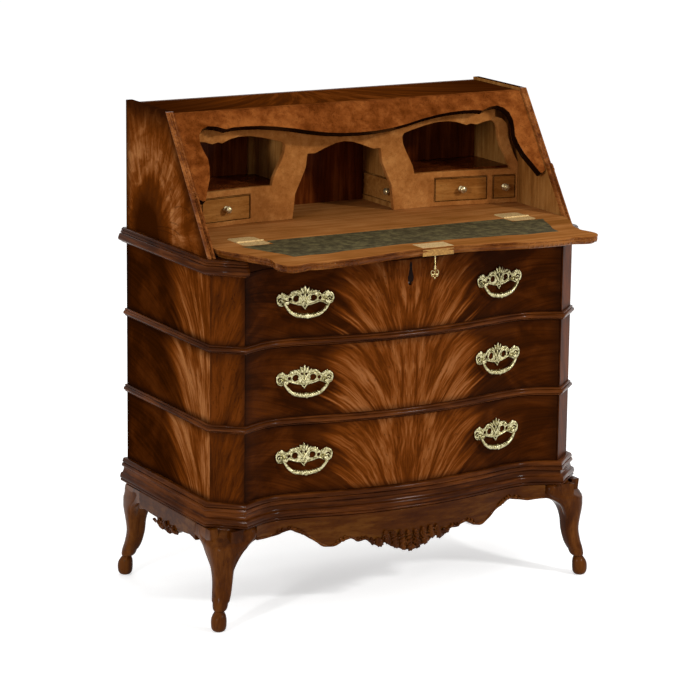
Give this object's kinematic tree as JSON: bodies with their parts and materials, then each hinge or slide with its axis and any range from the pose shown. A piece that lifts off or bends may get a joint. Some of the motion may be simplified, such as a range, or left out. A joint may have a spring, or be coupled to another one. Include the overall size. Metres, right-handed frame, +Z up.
{
  "type": "writing bureau",
  "caption": "Serpentine writing bureau on cabriole legs: sloping fall that folds down as a desk, fitted interior with pigeonholes and small drawers, long drawers below with drop handles.",
  "frame": {"origin": "On the floor, under the middle of the overall box with the fall folded down and the drawers shut.", "axes": "+Z up, +X across to the right as a person faces the front, the front towards -Y."},
  "size_m": [0.9272, 0.6266, 1.05],
  "materials": {
    "side_veneer": "crotch walnut veneer, glossy varnish",
    "post_veneer": "walnut veneer, glossy varnish",
    "drawer_veneer": "flame walnut veneer, glossy varnish",
    "top_veneer": "dark walnut, glossy varnish",
    "back_boards": "plain stained boards, matt",
    "carcass_boards": "plain walnut, satin",
    "dark_moulding": "dark walnut, glossy varnish",
    "stand_wood": "dark walnut, glossy varnish",
    "frame_burr": "burr walnut, satin varnish",
    "desk_wood": "honey walnut, satin varnish",
    "gallery_burr": "burr walnut, satin varnish",
    "gallery_wood": "honey walnut, satin varnish",
    "small_drawer_wood": "honey walnut, satin varnish",
    "desk_leather": "dark olive hide with a tooled edge",
    "handle_brass": "cast brass, pale lacquer",
    "hinge_brass": "engraved brass, pale lacquer",
    "lock_steel": "plain steel",
    "key_metal": "cast brass bow on a steel shaft"
  },
  "bodies": {
    "case": {"apron_front": "stand_wood", "apron_left": "stand_wood", "apron_right": "stand_wood", "back_panel": "back_boards", "back_rail": "stand_wood", "base_moulding": "dark_moulding", "case_bottom": "carcass_boards", "corner_post_left": "post_veneer", "corner_post_right": "post_veneer", "desk_bed": "desk_wood", "dust_board_lower": "carcass_boards", "dust_board_upper": "carcass_boards", "gallery_case_left": "gallery_wood", "gallery_case_right": "gallery_wood", "gallery_front": "gallery_burr", "hinge_bed_leaf_left": "hinge_brass", "hinge_bed_leaf_right": "hinge_brass", "leg_back_left": "stand_wood", "leg_back_right": "stand_wood", "leg_front_left": "stand_wood", "leg_front_right": "stand_wood", "side_left": "side_veneer", "side_right": "side_veneer", "slope_frame": "frame_burr", "slope_moulding_left": "dark_moulding", "slope_moulding_right": "dark_moulding", "string_lower": "dark_moulding", "string_upper": "dark_moulding", "top_board": "top_veneer", "waist_board": "carcass_boards", "waist_moulding_left": "dark_moulding", "waist_moulding_right": "dark_moulding"},
    "fall": {"fall_lid": "desk_wood", "leather_panel": "desk_leather", "fall_lock_plate": "hinge_brass", "hinge_lid_leaf_left": "hinge_brass", "hinge_lid_leaf_right": "hinge_brass"},
    "key": {"fall_key": "key_metal"},
    "top_drawer": {"drawer_top": "drawer_veneer", "backplate_top_left": "handle_brass", "backplate_top_right": "handle_brass", "drawer_lock": "lock_steel"},
    "top_bail_left": {"bail_top_left": "handle_brass"},
    "top_bail_right": {"bail_top_right": "handle_brass"},
    "middle_drawer": {"drawer_middle": "drawer_veneer", "backplate_middle_left": "handle_brass", "backplate_middle_right": "handle_brass"},
    "middle_bail_left": {"bail_middle_left": "handle_brass"},
    "middle_bail_right": {"bail_middle_right": "handle_brass"},
    "lower_drawer": {"drawer_lower": "drawer_veneer", "backplate_lower_left": "handle_brass", "backplate_lower_right": "handle_brass"},
    "lower_bail_left": {"bail_lower_left": "handle_brass"},
    "lower_bail_right": {"bail_lower_right": "handle_brass"},
    "wide_small_drawer_left": {"wide_drawer_left": "small_drawer_wood"},
    "wide_small_drawer_right": {"wide_drawer_right": "small_drawer_wood"},
    "tiny_small_drawer_left": {"tiny_drawer_left": "small_drawer_wood"},
    "tiny_small_drawer_right": {"tiny_drawer_right": "small_drawer_wood"},
    "side_small_drawer_left": {"side_drawer_left": "small_drawer_wood"},
    "side_small_drawer_right": {"side_drawer_right": "small_drawer_wood"}
  },
  "joints": [
    {"name": "fall_hinge", "type": "hinge", "parent": "case", "child": "fall", "pos_m": [0, -0.05525, 0.794], "axis": [1, 0, 0], "range_deg": [-125.39, 0]},
    {"name": "key_turn", "type": "hinge", "parent": "fall", "child": "key", "pos_m": [0, -0.2593, 0.776], "axis": [0, 0, 1], "range_deg": [0, 90]},
    {"name": "top_drawer_slide", "type": "slide", "parent": "case", "child": "top_drawer", "axis": [0, -1, 0], "range_m": [0, 0.27]},
    {"name": "top_bail_left_swing", "type": "hinge", "parent": "top_drawer", "child": "top_bail_left", "pos_m": [-0.236, -0.1437, 0.67575], "axis": [-0.9827, 0.1854, 0], "range_deg": [-8, 95]},
    {"name": "top_bail_right_swing", "type": "hinge", "parent": "top_drawer", "child": "top_bail_right", "pos_m": [0.236, -0.1437, 0.67575], "axis": [-0.9827, -0.1854, 0], "range_deg": [-8, 95]},
    {"name": "middle_drawer_slide", "type": "slide", "parent": "case", "child": "middle_drawer", "axis": [0, -1, 0], "range_m": [0, 0.27]},
    {"name": "middle_bail_left_swing", "type": "hinge", "parent": "middle_drawer", "child": "middle_bail_left", "pos_m": [-0.236, -0.1437, 0.50725], "axis": [-0.9827, 0.1854, 0], "range_deg": [-8, 95]},
    {"name": "middle_bail_right_swing", "type": "hinge", "parent": "middle_drawer", "child": "middle_bail_right", "pos_m": [0.236, -0.1437, 0.50725], "axis": [-0.9827, -0.1854, 0], "range_deg": [-8, 95]},
    {"name": "lower_drawer_slide", "type": "slide", "parent": "case", "child": "lower_drawer", "axis": [0, -1, 0], "range_m": [0, 0.27]},
    {"name": "lower_bail_left_swing", "type": "hinge", "parent": "lower_drawer", "child": "lower_bail_left", "pos_m": [-0.236, -0.1437, 0.34054], "axis": [-0.9827, 0.1854, 0], "range_deg": [-8, 95]},
    {"name": "lower_bail_right_swing", "type": "hinge", "parent": "lower_drawer", "child": "lower_bail_right", "pos_m": [0.236, -0.1437, 0.34054], "axis": [-0.9827, -0.1854, 0], "range_deg": [-8, 95]},
    {"name": "wide_drawer_left_slide", "type": "slide", "parent": "case", "child": "wide_small_drawer_left", "axis": [0, -1, 0], "range_m": [0, 0.095]},
    {"name": "wide_drawer_right_slide", "type": "slide", "parent": "case", "child": "wide_small_drawer_right", "axis": [0, -1, 0], "range_m": [0, 0.095]},
    {"name": "tiny_drawer_left_slide", "type": "slide", "parent": "case", "child": "tiny_small_drawer_left", "axis": [0, -1, 0], "range_m": [0, 0.095]},
    {"name": "tiny_drawer_right_slide", "type": "slide", "parent": "case", "child": "tiny_small_drawer_right", "axis": [0, -1, 0], "range_m": [0, 0.095]},
    {"name": "side_drawer_left_slide", "type": "slide", "parent": "case", "child": "side_small_drawer_left", "axis": [1, 0, 0], "range_m": [0, 0.07]},
    {"name": "side_drawer_right_slide", "type": "slide", "parent": "case", "child": "side_small_drawer_right", "axis": [-1, 0, 0], "range_m": [0, 0.07]}
  ]
}
